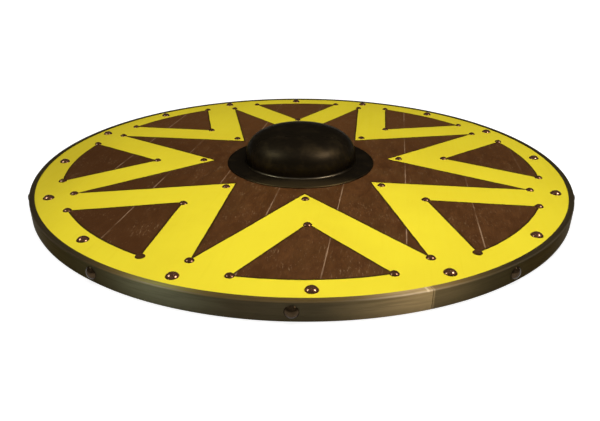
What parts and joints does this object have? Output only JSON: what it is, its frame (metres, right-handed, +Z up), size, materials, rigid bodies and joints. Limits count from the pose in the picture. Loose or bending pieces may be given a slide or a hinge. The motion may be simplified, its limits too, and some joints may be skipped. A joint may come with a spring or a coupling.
{
  "type": "wooden round shield",
  "caption": "Round wooden plank shield with a painted star, metal rim band, dome nails, a hollow steel boss over the hand hole and a grip bar let into the back.",
  "frame": {"origin": "middle of the shield on the plane of its underside, the rim band's lower lip", "axes": "+Z up out of the painted face, through the boss; -Y is the front of the picture"},
  "size_m": [0.61, 0.6164, 0.0593],
  "materials": {
    "stained_board": "dark stained planks with a satin yellow painted star",
    "grip_wood": "plain oiled wood",
    "band_steel": "dark steel, brushed along its length",
    "boss_steel": "blackened, satin",
    "nail_copper": "antiqued copper plating, polished on the domes"
  },
  "bodies": {
    "root": {"board_plank_1": "stained_board", "board_plank_2": "stained_board", "board_plank_3": "stained_board", "board_plank_4": "stained_board", "board_plank_5": "stained_board", "board_plank_6": "stained_board", "board_plank_7": "stained_board", "board_plank_8": "stained_board", "board_plank_9": "stained_board", "board_plank_10": "stained_board", "rim_band": "band_steel", "boss": "boss_steel", "grip_bar": "grip_wood", "rim_nail_1": "nail_copper", "rim_nail_2": "nail_copper", "rim_nail_3": "nail_copper", "rim_nail_4": "nail_copper", "rim_nail_5": "nail_copper", "rim_nail_6": "nail_copper", "rim_nail_7": "nail_copper", "rim_nail_8": "nail_copper", "rim_nail_9": "nail_copper", "rim_nail_10": "nail_copper", "rim_nail_11": "nail_copper", "rim_nail_12": "nail_copper", "rim_nail_13": "nail_copper", "rim_nail_14": "nail_copper", "rim_nail_15": "nail_copper", "rim_nail_16": "nail_copper", "band_nail_1": "nail_copper", "band_nail_2": "nail_copper", "band_nail_3": "nail_copper", "band_nail_4": "nail_copper", "band_nail_5": "nail_copper", "band_nail_6": "nail_copper", "band_nail_7": "nail_copper", "band_nail_8": "nail_copper", "band_nail_9": "nail_copper", "band_nail_10": "nail_copper", "tip_nail_1": "nail_copper", "tip_nail_2": "nail_copper", "tip_nail_3": "nail_copper", "tip_nail_4": "nail_copper", "tip_nail_5": "nail_copper", "tip_nail_6": "nail_copper", "tip_nail_7": "nail_copper", "tip_nail_8": "nail_copper", "corner_nail_1": "nail_copper", "corner_nail_2": "nail_copper", "corner_nail_3": "nail_copper", "corner_nail_4": "nail_copper", "corner_nail_5": "nail_copper", "corner_nail_6": "nail_copper", "corner_nail_7": "nail_copper", "corner_nail_8": "nail_copper", "grip_nail_1": "nail_copper", "grip_nail_2": "nail_copper", "grip_nail_3": "nail_copper", "grip_nail_4": "nail_copper"}
  },
  "joints": []
}
